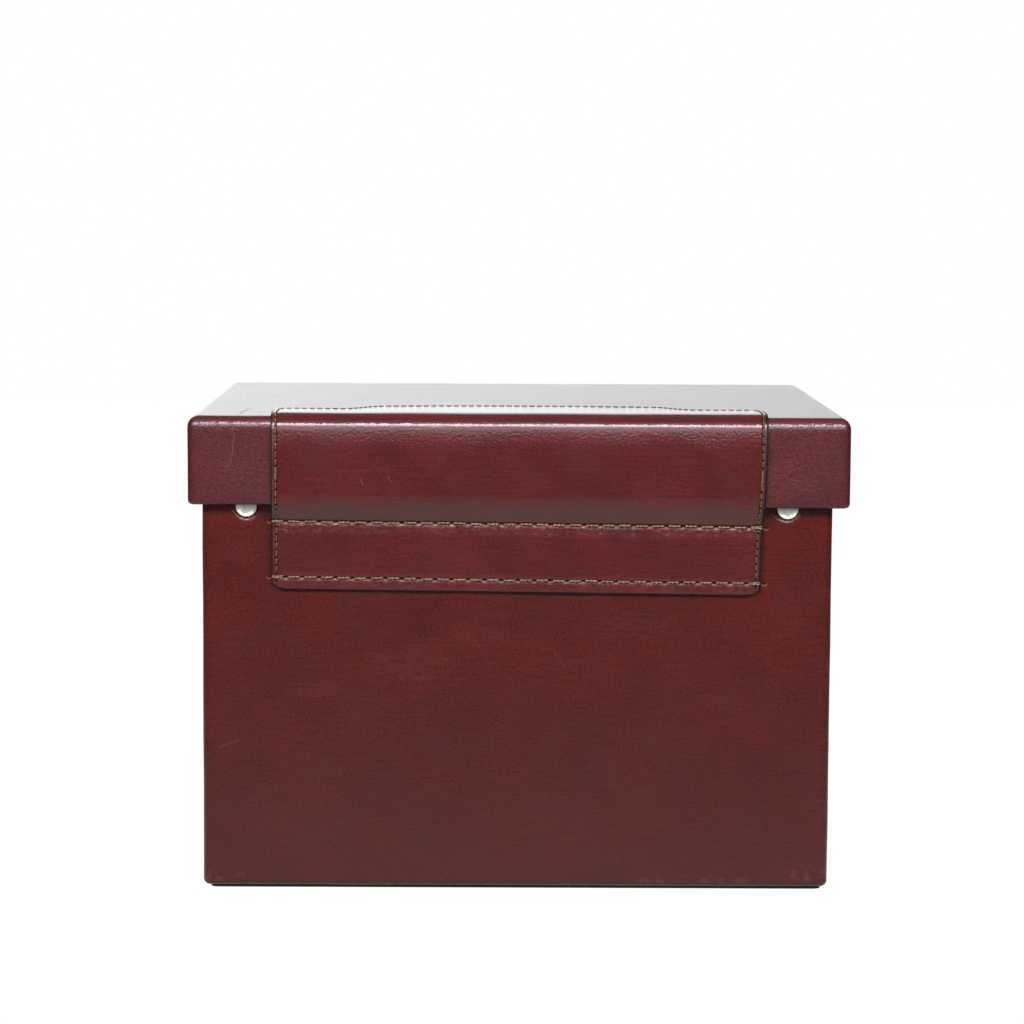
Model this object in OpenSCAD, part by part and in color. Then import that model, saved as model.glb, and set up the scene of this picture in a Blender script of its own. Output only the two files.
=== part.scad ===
// Leather-covered stationery box with a deep telescoping lid on a sewn leather hinge.
// Millimetres, +Z up. The hinge side faces -Y. The origin is under the middle of the box, on the
// surface it stands on.

/* [Lid] */
// Outside width of the lid, left to right
lid_w = 330; // [250:1:420]
// Outside depth of the lid, hinge wall to front wall
lid_d = 276; // [200:1:360]
// Height of the lid, from its lower edge to its top
lid_h = 44; // [30:1:60]
// Thickness of the board in the lid's top
lid_top_board_t = 3; // [2:0.5:6]
// Thickness of the board in the lid's walls
lid_board_t = 2; // [1.5:0.1:3]
// Rounding of the lid's upright corners
lid_corner_r = 5; // [4:0.5:10]
// Rounding where the lid's walls meet its top
lid_edge_r = 4.5; // [3:0.5:8]
// Rounding of the lid's lower edge
lid_hem_r = 1.2; // [0.6:0.1:1.7]

/* [Body] */
// Height of the closed box, from the ground to the top of the lid's leather
box_h = 240; // [120:1:320]
// Thickness of the body's wall boards
wall_board_t = 3.5; // [2.5:0.5:6]
// Thickness of the body's floor board
floor_board_t = 3.5; // [2.5:0.5:6]
// Rounding of the body's upright corners
body_corner_r = 4; // [3:0.5:8]
// Rounding of the body's rim
body_rim_r = 1.2; // [0.6:0.1:2]
// Rounding of the body's lower edge
body_foot_r = 3; // [2:0.5:5]
// Thickness of the panel that the box stands on
base_t = 1.5; // [1:0.1:4]
// How far the base panel is set in from the body's faces
base_inset = 3.5; // [3:0.5:10]

/* [Leather and lining] */
// Thickness of the covering leather
leather_t = 1; // [0.7:0.1:1.6]
// Thickness of the lining, and of the leather where it is pared and turned in
lining_t = 0.5; // [0.4:0.1:1]
// How far the leather is turned in past the body's rim and the lid's lower edge
turn_in = 12; // [6:1:20]
// How far the leather is turned in under the base
turn_under = 20; // [10:1:40]

/* [Clearances] */
// Least room between the lid and the body as the lid swings
lid_play = 0.3; // [0.2:0.1:2]
// Room between the body's rim and the lid's ceiling
seat_gap = 0.5; // [0.3:0.1:2]
// Room between the threads when the lid hangs folded right back
fold_play = 0.3; // [0.2:0.1:2]
// Room round a rivet post in its hole
post_play = 0.1; // [0.05:0.05:0.3]
// Room round the hand stitches' thread in the groove behind the board
thread_play = 0.3; // [0.1:0.1:0.6]

/* [Hinge panel] */
// Distance of the panel's edge from the lid's side
hinge_inset = 42.5; // [38:0.5:70]
// Thickness of each of its two plies
ply_t = 1; // [0.7:0.1:1.4]
// How far the panel reaches below the lid's lower edge
hinge_reach_down = 44; // [36:1:60]
// Height of the panel's free stretch below the lid's lower edge
fold_h = 7.6; // [6:0.1:8.5]
// How far the panel reaches in over the lid's top at its sides
hinge_reach_side = 34; // [24:1:60]
// How much further the panel reaches in over the middle of the lid's top
ogee_rise = 19; // [8:1:30]
// Extra bow of the panel's far edge at the middle
ogee_bow = 5; // [0:0.5:10]
// Width of the straight stretch at each side of the panel's far edge
ogee_shoulder = 35; // [20:1:50]
// Width of the S-curve from a shoulder to the middle
ogee_run = 20; // [12:1:40]
// Rounding of the panel's corners
hinge_corner_r = 5; // [3:0.5:8]
// How far the line the lid turns about lies below the lid's lower edge
hinge_drop = 1.3; // [0:0.1:3]

/* [Hand stitching] */
// Number of stitches in each row
hand_stitches = 30; // [20:1:40]
// How far a row's last hole lies outside the panel's edge
hand_over = 1.7; // [1.2:0.1:3]
// Distance of the upper row below the lid's lower edge
upper_row_drop = 9.6; // [9:0.1:12]
// Distance of the lower row above the panel's lower edge
lower_row_rise = 5.8; // [4:0.1:12]
// Width of the thread on the leather
hand_thread_w = 1; // [0.7:0.1:1.4]
// How far the thread stands out of the leather
hand_thread_t = 0.7; // [0.4:0.1:1]
// Width of an awl hole
awl_w = 1.4; // [1:0.1:2]

/* [Machine seam] */
// Length from one machine stitch to the next
seam_pitch = 3.85; // [3:0.05:6]
// Distance of the seam from the panel's edge
seam_inset = 2.5; // [1.5:0.1:5]
// Thickness of the seam's thread
seam_thread_d = 0.5; // [0.3:0.05:0.7]
// Gap between one stitch and the next
seam_gap = 0.9; // [0.5:0.1:1.5]

/* [Rivets] */
// Distance of a rivet's centre from the body's side
rivet_inset = 22.7; // [16:0.1:24]
// Distance of the rivets' centres below the lid's lower edge
rivet_drop = 1.2; // [-4:0.1:5]
// Diameter of the outer caps
rivet_cap_d = 11.2; // [8:0.1:13]
// Diameter of the inner caps
rivet_back_d = 9; // [6:0.1:13]
// Diameter of the posts
rivet_post_d = 3; // [2:0.1:4]
// Thickness of the caps
rivet_cap_t = 1.2; // [1:0.1:1.5]
// Depth of the dish inside the outer cap's raised rim
rivet_dish = 0.3; // [0.1:0.05:0.5]
// Width of the outer cap's raised rim
rivet_rim_w = 0.7; // [0.4:0.1:1.2]

/* [Hidden] */
$fn = 48;
// How far a cut runs past the face that it opens
past = 1;
sides = [-1, 1];
// Thickness of the lid's top, and of its walls
lid_top_t = leather_t + lid_top_board_t + lining_t;
lid_wall_t = leather_t + lid_board_t + lining_t;
body_wall_t = leather_t + wall_board_t + lining_t;
hinge_t = 2 * ply_t;
hinge_w = lid_w - 2 * hinge_inset;
// Heights above the ground
lid_z = box_h - lid_h;
rim_z = box_h - lid_top_t - seat_gap;
ceiling_z = box_h - lid_top_t;
axis_z = lid_z - hinge_drop;
panel_z = lid_z - hinge_reach_down;
fold_z = lid_z - fold_h;
upper_row_z = lid_z - upper_row_drop;
lower_row_z = panel_z + lower_row_rise;
rivet_z = lid_z - rivet_drop;
floor_z = base_t + leather_t + floor_board_t + lining_t;
// Places worked out by a formula are kept to a hundredth of a millimetre
function to_hundredth(v) = ceil(v * 100) / 100;
// The lid's front wall swings in by this much before it clears the body's rim
swing = to_hundredth(pow(rim_z - axis_z, 2) / (2 * (lid_d - lid_wall_t - hinge_t)));
// How far the body's faces lie inside the lid's
overhang = lid_wall_t + lid_play + swing;
body_w = lid_w - 2 * overhang;
body_d = lid_d - 2 * overhang;
// A machine stitch is a six-sided bar on one of its flats
seam_r = seam_thread_d / 2;
seam_proud = seam_thread_d * cos(30);
stitch_len = seam_pitch - seam_gap;
// Places front to back: the box with its hinge panel is centred on the origin
mid_y = to_hundredth((hinge_t + seam_proud) / 2);
lid_back_y = mid_y - lid_d / 2;
body_back_y = mid_y - body_d / 2;
// The line the lid turns about leaves room for both panels and their threads, folded back
axis_y = lid_back_y + to_hundredth(
    (overhang - 2 * hinge_t - hand_thread_t - seam_proud - fold_play) / 2);
echo(lid_turns_about = [0, axis_y, axis_z]);
// The groove that takes the hand stitches behind the hinge wall's board
groove_h = max(awl_w, hand_thread_w) + 2 * thread_play;
groove_t = hand_thread_t + thread_play;
hand_pitch = (hinge_w + 2 * hand_over) / hand_stitches;
seam_x = hinge_w / 2 - seam_inset;
rivet_x = body_w / 2 - rivet_inset;
rivet_hole_r = rivet_post_d / 2 + post_play;
// Straight steps that the panel's free stretch is drawn in
fold_steps = 8;

leather_colour = [0.42, 0.145, 0.16];
panel_colour = [0.45, 0.15, 0.175];
fold_colour = [0.37, 0.21, 0.235];
ply_colour = [0.2, 0.07, 0.08];
board_colour = [0.62, 0.56, 0.47];
lining_colour = [0.55, 0.43, 0.32];
base_colour = [0.05, 0.045, 0.045];
thread_colour = [0.6, 0.52, 0.37];
nickel_colour = [0.78, 0.77, 0.72];

// A rectangle with round corners, centred on the origin
module round_rectangle(w, d, r) {
    square([w - 2 * r, d], center = true);
    square([w, d - 2 * r], center = true);
    for (x = sides, y = sides)
        translate([x * (w / 2 - r), y * (d / 2 - r)]) circle(r);
}

// The upright outline of a box that stands on the X axis: round above and below
module round_profile(w, h, r_top, r_foot) {
    translate([-w / 2, r_foot]) square([w, h - r_top - r_foot]);
    translate([r_top - w / 2, h - r_top]) square([w - 2 * r_top, r_top]);
    translate([r_foot - w / 2, 0]) square([w - 2 * r_foot, r_foot]);
    for (x = sides) {
        translate([x * (w / 2 - r_top), h - r_top]) circle(r_top);
        translate([x * (w / 2 - r_foot), r_foot]) circle(r_foot);
    }
}

// A solid block with round corners and edges, its foot at height z
module round_block(w, d, z, h, r, r_top, r_foot) {
    translate([0, mid_y, z])
        intersection() {
            linear_extrude(h) round_rectangle(w, d, r);
            translate([0, d / 2 + past, 0]) rotate([90, 0, 0])
                linear_extrude(d + 2 * past) round_profile(w, h, r_top, r_foot);
            translate([-w / 2 - past, 0, 0]) rotate([90, 0, 90])
                linear_extrude(w + 2 * past) round_profile(d, h, r_top, r_foot);
        }
}

// A plain block centred on the box, from height z to z + h
module plain_block(w, d, z, h) {
    translate([-w / 2, mid_y - d / 2, z]) cube([w, d, h]);
}

// The lid's leather skin is what lies between these solids
module lid_outside() {
    round_block(lid_w, lid_d, lid_z, lid_h, lid_corner_r, lid_edge_r, lid_hem_r);
}
module lid_core() {
    inner_hem_r = lid_hem_r / 2;
    round_block(lid_w - 2 * leather_t, lid_d - 2 * leather_t, lid_z + leather_t,
        lid_h - 2 * leather_t, lid_corner_r - leather_t, lid_edge_r - leather_t, inner_hem_r);
}
module inside_lid_boards(z, h) {
    inset = 2 * (leather_t + lid_board_t);
    plain_block(lid_w - inset, lid_d - inset, z, h);
}
module inside_lid_lining(z, h) {
    plain_block(lid_w - 2 * lid_wall_t, lid_d - 2 * lid_wall_t, z, h);
}

// The body's leather skin and boards are what lies between these
module body_outside() {
    round_block(body_w, body_d, base_t, rim_z - base_t, body_corner_r, body_rim_r, body_foot_r);
}
module body_core() {
    round_block(body_w - 2 * leather_t, body_d - 2 * leather_t, base_t + leather_t,
        rim_z - base_t - 2 * leather_t, body_corner_r - leather_t, body_rim_r / 2,
        body_foot_r - leather_t);
}
module inside_body_boards(z, h) {
    inset = 2 * (leather_t + wall_board_t);
    plain_block(body_w - inset, body_d - inset, z, h);
}
module inside_body_lining(z, h) {
    plain_block(body_w - 2 * body_wall_t, body_d - 2 * body_wall_t, z, h);
}

// Where the hinge panel lies on the body: a tongue with round lower corners
module tongue(y, t) {
    h = fold_z - panel_z;
    translate([0, y + t, panel_z]) rotate([90, 0, 0]) linear_extrude(t) {
        translate([-hinge_w / 2, hinge_corner_r]) square([hinge_w, h - hinge_corner_r]);
        translate([hinge_corner_r - hinge_w / 2, 0])
            square([hinge_w - 2 * hinge_corner_r, hinge_corner_r]);
        for (x = sides)
            translate([x * (hinge_w / 2 - hinge_corner_r), hinge_corner_r])
                circle(hinge_corner_r);
    }
}

// The panel's far edge: reach over the lid's top at x, with an S-curve on each side
ogee_x = hinge_w / 2 - ogee_shoulder;
function ogee_share(x) = min(1, max(0, (ogee_x - abs(x)) / ogee_run));
function s_curve(u) = u * u * (3 - 2 * u);
function bow(x) = ogee_bow * (1 - pow(min(1, abs(x) / (ogee_x - ogee_run)), 2));
function ogee(x) = hinge_reach_side + ogee_rise * s_curve(ogee_share(x)) + bow(x);

// The hinge panel's outline seen from above, its far corners round
module ogee_outline() {
    steps = 16;
    flat = 12;
    shoulder = [for (i = [0:steps]) -ogee_x + i * ogee_run / steps];
    middle_w = ogee_x - ogee_run;
    middle = [for (i = [1:flat - 1]) -middle_w + 2 * middle_w * i / flat];
    rise = concat(shoulder, middle, [for (i = [steps:-1:0]) -shoulder[i]]);
    r = hinge_corner_r;
    w = hinge_w / 2;
    near = lid_back_y - hinge_t - past;
    far = lid_back_y + hinge_reach_side;
    corner = [for (a = [0:15:90]) [w - r + r * cos(a), far - r + r * sin(a)]];
    polygon(concat(
        [[-w, near], [w, near]],
        corner,
        [for (i = [len(rise) - 1:-1:0]) [rise[i], lid_back_y + ogee(rise[i])]],
        [for (i = [len(corner) - 1:-1:0]) [-corner[i][0], corner[i][1]]]
    ));
}

// One ply of the panel on the lid, between two distances from the lid's leather
module lid_ply(inner, outer) {
    reach = hinge_reach_side + ogee_rise + ogee_bow + past;
    intersection() {
        translate([-hinge_w / 2, 0, 0]) rotate([90, 0, 90]) linear_extrude(hinge_w)
            difference() {
                lid_bend(outer, reach, 0);
                lid_bend(inner, reach + past, past);
            }
        translate([0, 0, lid_z]) linear_extrude(lid_h + hinge_t + past) ogee_outline();
    }
}

// Side view of the lid's hinge edge, grown outwards by t
module lid_bend(t, reach, below) {
    r = lid_edge_r + t;
    translate([lid_back_y - t, lid_z - below]) square([reach + t, lid_h + t - r + below]);
    translate([lid_back_y - t + r, lid_z - below]) square([reach + t - r, lid_h + t + below]);
    translate([lid_back_y - t + r, box_h + t - r]) circle(r);
}

// A layer of the free stretch, which leaves the lid's edge and curves in to the body's wall,
// from step first to step last
function fold_y(i) = lid_back_y + overhang * s_curve(i / fold_steps);
function fold_level(i) = lid_z - fold_h * i / fold_steps;
module fold_layer(x, w, inner, outer, first = 0, last = fold_steps) {
    translate([x - w / 2, 0, 0]) rotate([90, 0, 90]) linear_extrude(w)
        polygon(concat(
            [for (i = [first:last]) [fold_y(i) - outer, fold_level(i)]],
            [for (i = [last:-1:first]) [fold_y(i) - inner, fold_level(i)]]
        ));
}

// The places of a row's awl holes, the last one at each end outside the panel
function hole_x(i) = (i - hand_stitches / 2) * hand_pitch;
module awl_holes(z) {
    for (i = [0:hand_stitches])
        translate([hole_x(i), body_back_y - hinge_t - past, z]) rotate([0, 45, 0])
            translate([-awl_w / 2, 0, -awl_w / 2])
                cube([awl_w, hinge_t + leather_t + wall_board_t + 2 * past, awl_w]);
}

// A row of saddle stitches: one waxed thread outside, one in the groove behind the board
module hand_row(z) {
    front_y = body_back_y - hinge_t - hand_thread_t;
    back_y = body_back_y + leather_t + wall_board_t - thread_play / 2;
    leg_w = hand_thread_t;
    row_w = hand_stitches * hand_pitch + leg_w;
    for (i = [0:hand_stitches])
        translate([hole_x(i) - leg_w / 2, front_y, z - leg_w / 2])
            cube([leg_w, back_y - front_y, leg_w]);
    for (y = [front_y, back_y - hand_thread_t])
        translate([hole_x(0) - leg_w / 2, y, z - hand_thread_w / 2])
            cube([row_w, hand_thread_t, hand_thread_w]);
}

// One machine stitch: a short thread that lies along X, its flat side on z = 0
module seam_stitch() {
    translate([-stitch_len / 2, 0, seam_proud / 2]) rotate([90, 0, 90])
        cylinder(h = stitch_len, r = seam_r, $fn = 6);
}

// Stitches down one side of the panel on a face at y, from z_top to z_foot
module seam_down(y, z_top, z_foot) {
    count = floor((z_top - z_foot) / seam_pitch);
    clear = (stitch_len + hand_thread_w) / 2;
    for (x = sides, i = [0:count - 1]) {
        z = z_top - (i + 0.5) * seam_pitch;
        if (abs(z - upper_row_z) > clear && abs(z - lower_row_z) > clear)
            translate([x * seam_x, y, z]) rotate([90, 90, 0]) seam_stitch();
    }
}

// The seam along the far edge, walked stitch by stitch from the left corner to the middle
slope_step = 0.1;
function seam_edge(x) = ogee(x) - seam_inset;
function slope(x) = (seam_edge(x + slope_step) - seam_edge(x - slope_step)) / (2 * slope_step);
function seam_walk(x) = x > -seam_pitch ? []
    : concat([x], seam_walk(x + seam_pitch * cos(atan(slope(x)))));

module base_panel() {
    inset = 2 * base_inset;
    color(base_colour)
        translate([0, mid_y, 0]) linear_extrude(base_t)
            round_rectangle(body_w - inset, body_d - inset, body_corner_r);
}

module base_infill() {
    inset = 2 * turn_under;
    color(board_colour) plain_block(body_w - inset, body_d - inset, base_t, leather_t);
}

module floor_board() {
    color(board_colour)
        intersection() {
            body_core();
            inside_body_boards(base_t + leather_t, floor_board_t);
        }
}

module hinge_wall_board() {
    board_y = body_back_y + leather_t;
    row_w = hand_stitches * hand_pitch + 2 * (hand_thread_t + thread_play);
    color(board_colour)
        difference() {
            intersection() {
                body_core();
                translate([-body_w / 2, board_y, base_t]) cube([body_w, wall_board_t, rim_z]);
            }
            awl_holes(upper_row_z);
            awl_holes(lower_row_z);
            for (z = [upper_row_z, lower_row_z])
                translate([-row_w / 2, board_y + wall_board_t - groove_t, z - groove_h / 2])
                    cube([row_w, groove_t + past, groove_h]);
            rivet_holes();
        }
}

module front_wall_board() {
    front_y = mid_y + body_d / 2 - leather_t - wall_board_t;
    color(board_colour)
        intersection() {
            body_core();
            translate([-body_w / 2, front_y, base_t]) cube([body_w, wall_board_t, rim_z]);
        }
}

module side_wall_board(side) {
    inset = 2 * (leather_t + wall_board_t);
    middle_x = side * (body_w / 2 - leather_t - wall_board_t / 2);
    color(board_colour)
        intersection() {
            body_core();
            translate([middle_x - wall_board_t / 2, mid_y - (body_d - inset) / 2, base_t])
                cube([wall_board_t, body_d - inset, rim_z]);
        }
}
module left_wall_board() {
    side_wall_board(-1);
}
module right_wall_board() {
    side_wall_board(1);
}

// A straight hole for each rivet, through the whole hinge wall
module rivet_holes() {
    for (x = sides)
        translate([x * rivet_x, body_back_y - past, rivet_z]) rotate([-90, 0, 0])
            cylinder(h = body_wall_t + 2 * past, r = rivet_hole_r);
}

module body_cover() {
    color(leather_colour)
        difference() {
            body_outside();
            body_core();
            inside_body_lining(base_t + leather_t, rim_z);
            inside_body_boards(base_t + leather_t, rim_z - turn_in - base_t - leather_t);
            plain_block(body_w - 2 * turn_under, body_d - 2 * turn_under, 0, floor_z);
            awl_holes(upper_row_z);
            awl_holes(lower_row_z);
            rivet_holes();
        }
}

module body_wall_lining() {
    color(lining_colour)
        difference() {
            inside_body_boards(floor_z, rim_z - turn_in - floor_z);
            inside_body_lining(floor_z - past, rim_z);
            rivet_holes();
        }
}

module body_floor_lining() {
    color(lining_colour) inside_body_boards(floor_z - lining_t, lining_t);
}

module hinge_body_leaf() {
    color(panel_colour)
        difference() {
            tongue(body_back_y - hinge_t, ply_t);
            awl_holes(upper_row_z);
            awl_holes(lower_row_z);
        }
}

module hinge_body_backing() {
    color(ply_colour)
        difference() {
            tongue(body_back_y - ply_t, ply_t);
            awl_holes(upper_row_z);
            awl_holes(lower_row_z);
        }
}

module upper_hand_stitches() {
    color(thread_colour) hand_row(upper_row_z);
}

module lower_hand_stitches() {
    color(thread_colour) hand_row(lower_row_z);
}

module body_seam() {
    color(thread_colour) seam_down(body_back_y - hinge_t, fold_z, panel_z + hinge_corner_r / 2);
}

// A flat cap with a raised rim, drawn from its dish at the axis out and round to its post
module rivet_caps() {
    cap_r = rivet_cap_d / 2;
    post_r = rivet_post_d / 2;
    dish_r = cap_r - rivet_rim_w;
    edge = rivet_dish;
    post_end = body_wall_t + rivet_cap_t / 2;
    color(nickel_colour)
        for (x = sides)
            translate([x * rivet_x, body_back_y, rivet_z]) rotate([90, 0, 0])
                rotate_extrude() polygon([
                    [0, -post_end], [post_r, -post_end], [post_r, 0], [cap_r, 0],
                    [cap_r, rivet_cap_t - edge], [cap_r - edge, rivet_cap_t],
                    [dish_r, rivet_cap_t], [dish_r - edge, rivet_cap_t - rivet_dish],
                    [0, rivet_cap_t - rivet_dish]
                ]);
}

module rivet_backs() {
    back_r = rivet_back_d / 2;
    socket_r = rivet_post_d / 2 + post_play / 2;
    edge = rivet_cap_t / 3;
    floor_t = rivet_cap_t / 2 - post_play;
    color(nickel_colour)
        for (x = sides)
            translate([x * rivet_x, body_back_y + body_wall_t, rivet_z])
                rotate([-90, 0, 0]) rotate_extrude() polygon([
                    [socket_r, 0], [back_r, 0], [back_r, rivet_cap_t - edge],
                    [back_r - edge, rivet_cap_t], [0, rivet_cap_t],
                    [0, rivet_cap_t - floor_t], [socket_r, rivet_cap_t - floor_t]
                ]);
}

module hinge_fold() {
    color(fold_colour) fold_layer(0, hinge_w, ply_t, hinge_t);
}

module hinge_fold_backing() {
    color(ply_colour) fold_layer(0, hinge_w, 0, ply_t);
}

// Two stitches on each side of the free stretch, one above the other
module fold_seam() {
    stitch_steps = fold_steps / 4;
    color(thread_colour)
        for (x = sides, first = [1, 1 + fold_steps / 2])
            fold_layer(x * seam_x, seam_thread_d, hinge_t, hinge_t + seam_proud,
                first, first + stitch_steps);
}

module lid_top_board() {
    color(board_colour)
        intersection() {
            lid_core();
            plain_block(lid_w, lid_d, ceiling_z + lining_t, lid_h);
        }
}

// The lid's wall boards stand under its top board
module lid_wall_board(w, d, x, y) {
    color(board_colour)
        intersection() {
            lid_core();
            translate([x - w / 2, y - d / 2, lid_z]) cube([w, d, ceiling_z + lining_t - lid_z]);
        }
}

module lid_hinge_board() {
    lid_wall_board(lid_w, lid_board_t, 0, lid_back_y + leather_t + lid_board_t / 2);
}

module lid_front_board() {
    front_y = mid_y + lid_d / 2;
    lid_wall_board(lid_w, lid_board_t, 0, front_y - leather_t - lid_board_t / 2);
}

module lid_side_board(side) {
    depth = lid_d - 2 * (leather_t + lid_board_t);
    lid_wall_board(lid_board_t, depth, side * (lid_w / 2 - leather_t - lid_board_t / 2), mid_y);
}
module lid_left_board() {
    lid_side_board(-1);
}
module lid_right_board() {
    lid_side_board(1);
}

module lid_cover() {
    color(leather_colour)
        difference() {
            lid_outside();
            lid_core();
            inside_lid_lining(lid_z - past, ceiling_z - lid_z + past);
            inside_lid_boards(lid_z + turn_in, ceiling_z + lining_t - lid_z - turn_in);
        }
}

module lid_wall_lining() {
    foot_z = lid_z + turn_in;
    color(lining_colour)
        difference() {
            inside_lid_boards(foot_z, ceiling_z - foot_z);
            inside_lid_lining(foot_z - past, lid_h);
        }
}

module lid_top_lining() {
    color(lining_colour) inside_lid_boards(ceiling_z, lining_t);
}

module hinge_lid_leaf() {
    color(panel_colour) lid_ply(ply_t, hinge_t);
}

module hinge_lid_backing() {
    color(ply_colour) lid_ply(0, ply_t);
}

// The machine seam on the lid: up the wall, in over the top and along the ogee edge
module lid_seam() {
    face_y = lid_back_y - hinge_t;
    top_z = box_h + hinge_t;
    start_y = lid_back_y + lid_edge_r;
    end_y = lid_back_y + hinge_reach_side - seam_inset;
    side_count = floor((end_y - start_y) / seam_pitch);
    half = seam_walk(-seam_x + seam_pitch / 2);
    color(thread_colour) {
        seam_down(face_y, box_h - lid_edge_r, lid_z);
        for (x = sides, i = [0:side_count - 1])
            translate([x * seam_x, start_y + (i + 0.5) * seam_pitch, top_z])
                rotate([0, 0, 90]) seam_stitch();
        for (x = half, m = sides)
            translate([m * x, lid_back_y + seam_edge(x), top_z])
                rotate([0, 0, m * atan(slope(x))]) seam_stitch();
        translate([0, lid_back_y + seam_edge(0), top_z]) seam_stitch();
    }
}

base_panel();
base_infill();
floor_board();
hinge_wall_board();
front_wall_board();
left_wall_board();
right_wall_board();
body_cover();
body_wall_lining();
body_floor_lining();
hinge_body_leaf();
hinge_body_backing();
upper_hand_stitches();
lower_hand_stitches();
body_seam();
rivet_caps();
rivet_backs();
hinge_fold();
hinge_fold_backing();
fold_seam();
lid_top_board();
lid_hinge_board();
lid_front_board();
lid_left_board();
lid_right_board();
lid_cover();
lid_wall_lining();
lid_top_lining();
hinge_lid_leaf();
hinge_lid_backing();
lid_seam();
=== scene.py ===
import random
from math import atan, ceil, cos, floor, hypot, pi, radians, sin, sqrt
import bpy
from mathutils import Matrix, Vector, noise


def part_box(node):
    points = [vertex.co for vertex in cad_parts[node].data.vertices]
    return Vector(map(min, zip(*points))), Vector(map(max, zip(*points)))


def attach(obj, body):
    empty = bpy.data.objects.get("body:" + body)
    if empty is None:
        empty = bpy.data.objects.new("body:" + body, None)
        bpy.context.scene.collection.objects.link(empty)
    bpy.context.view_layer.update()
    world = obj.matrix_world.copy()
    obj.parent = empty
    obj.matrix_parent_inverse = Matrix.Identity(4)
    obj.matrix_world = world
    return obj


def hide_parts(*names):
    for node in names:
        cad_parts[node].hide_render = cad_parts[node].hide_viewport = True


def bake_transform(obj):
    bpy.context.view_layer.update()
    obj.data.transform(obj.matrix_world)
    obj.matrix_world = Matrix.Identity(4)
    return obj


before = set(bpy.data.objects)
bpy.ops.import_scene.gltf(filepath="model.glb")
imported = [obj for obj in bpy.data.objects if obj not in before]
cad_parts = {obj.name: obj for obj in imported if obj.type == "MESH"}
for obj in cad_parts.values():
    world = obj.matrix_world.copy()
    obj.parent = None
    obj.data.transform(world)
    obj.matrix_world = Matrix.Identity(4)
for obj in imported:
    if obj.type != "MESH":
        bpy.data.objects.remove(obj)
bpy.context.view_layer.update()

# The camera stands where the photograph was taken: nearly square to the hinge side, a little above,
# with a long lens. Its place and turn come from the box's edges in the picture.
mm = 0.001
photo_side = 1024
focal_px = 3280
sensor = 36 * mm
camera_at = Vector((-18.28, -1763.02, 357.39)) * mm
camera_yaw, camera_pitch, camera_roll = 0.5322, 5.7856, 0.3335
turn = (
    Matrix.Rotation(radians(-camera_yaw), 4, "Z")
    @ Matrix.Rotation(radians(90 - camera_pitch), 4, "X")
    @ Matrix.Rotation(radians(camera_roll), 4, "Z")
)
bpy.ops.object.camera_add(location=camera_at, rotation=turn.to_euler())
camera = bpy.context.object
camera.data.sensor_width = sensor / mm
camera.data.lens = focal_px * sensor / mm / photo_side
camera.data.clip_start = 0.05
bpy.context.scene.camera = camera


# The studio: a white paper sweep, a high soft box at each side for the light on the leather, three
# strips in front that only show as a gleam along the edges, each lower one weaker, and a pale
# backdrop that the flat top mirrors.
def linear(code):
    """An sRGB colour such as "6b2529" as linear red, green, blue and alpha"""
    parts = [int(code[i : i + 2], 16) / 255 for i in (0, 2, 4)]
    return [c / 12.92 if c <= 0.04045 else ((c + 0.055) / 1.055) ** 2.4 for c in parts] + [1]


def add(tree, kind, inputs=(), out=0, **settings):
    """Adds a node with its settings and its inputs, by place or name, and returns one of its outputs"""
    new = tree.nodes.new("ShaderNode" + kind)
    for name, value in settings.items():
        setattr(new, name, value)
    for key, value in inputs.items() if isinstance(inputs, dict) else enumerate(inputs):
        if isinstance(value, bpy.types.NodeSocket):
            tree.links.new(value, new.inputs[key])
        else:
            new.inputs[key].default_value = linear(value) if isinstance(value, str) else value
    return new.outputs[out] if new.outputs else None


def soft_box(name, place, aim, width, height, watts, tint="ffffff"):
    """A rectangular studio light that points at aim"""
    direction = Vector(aim) - Vector(place)
    bpy.ops.object.light_add(
        type="AREA", location=place, rotation=direction.to_track_quat("-Z", "Y").to_euler()
    )
    light = bpy.context.object
    light.name = name
    light.data.shape = "RECTANGLE"
    light.data.size = width
    light.data.size_y = height
    light.data.energy = watts
    light.data.color = linear(tint)[:3]
    return light


middle = (0, -0.13, 0.12)
left_light = soft_box("left_light", (-1.6, -1.8, 1.6), middle, 1.4, 0.3, 41)
right_light = soft_box("right_light", (1.6, -1.8, 1.55), middle, 1.4, 0.3, 34)
left_light.visible_glossy = right_light.visible_glossy = False
lid_edge, gleam_away, gleam_width = Vector((0, -0.13, 0.24)), 1.25, 1.4
for name, low, high, brightness in (
    ("high_gleam", 35, 46, 23), ("middle_gleam", 24, 35, 10), ("low_gleam", 8, 24, 2.6),
):
    rise, spread = radians((low + high) / 2), radians(high - low)
    place = lid_edge + Vector((0, -cos(rise), sin(rise))) * gleam_away
    tall = 2 * gleam_away * sin(spread / 2)
    watts = brightness * pi * gleam_width * tall
    gleam = soft_box(name, place, lid_edge, gleam_width, tall, watts, "f0f3ff")
    gleam.visible_diffuse = False

world = bpy.data.worlds.new("studio")
bpy.context.scene.world = world
world.use_nodes = True
sky = world.node_tree
sky.nodes.clear()
room_light, ceiling_light, backdrop_light, backdrop_slope = 0.05, 0.25, 1.6, -2.2
direction = add(sky, "SeparateXYZ", (add(sky, "TexCoord", out="Generated"),)).node.outputs
behind = add(sky, "MapRange", (direction["Y"], 0.78, 0.93), interpolation_type="SMOOTHSTEP")
backdrop = add(sky, "Math", (direction["X"], backdrop_slope, backdrop_light), operation="MULTIPLY_ADD")
upward = add(sky, "MapRange", (direction["Z"], 0.6, 0.85, room_light, ceiling_light))
level = add(sky, "MapRange", (behind, 0, 1, upward, backdrop))
room = add(sky, "Background", {"Color": "f7fdff", "Strength": level})
white = add(sky, "Background", {"Color": "ffffff"})
by_camera = add(sky, "LightPath", out="Is Camera Ray")
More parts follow.
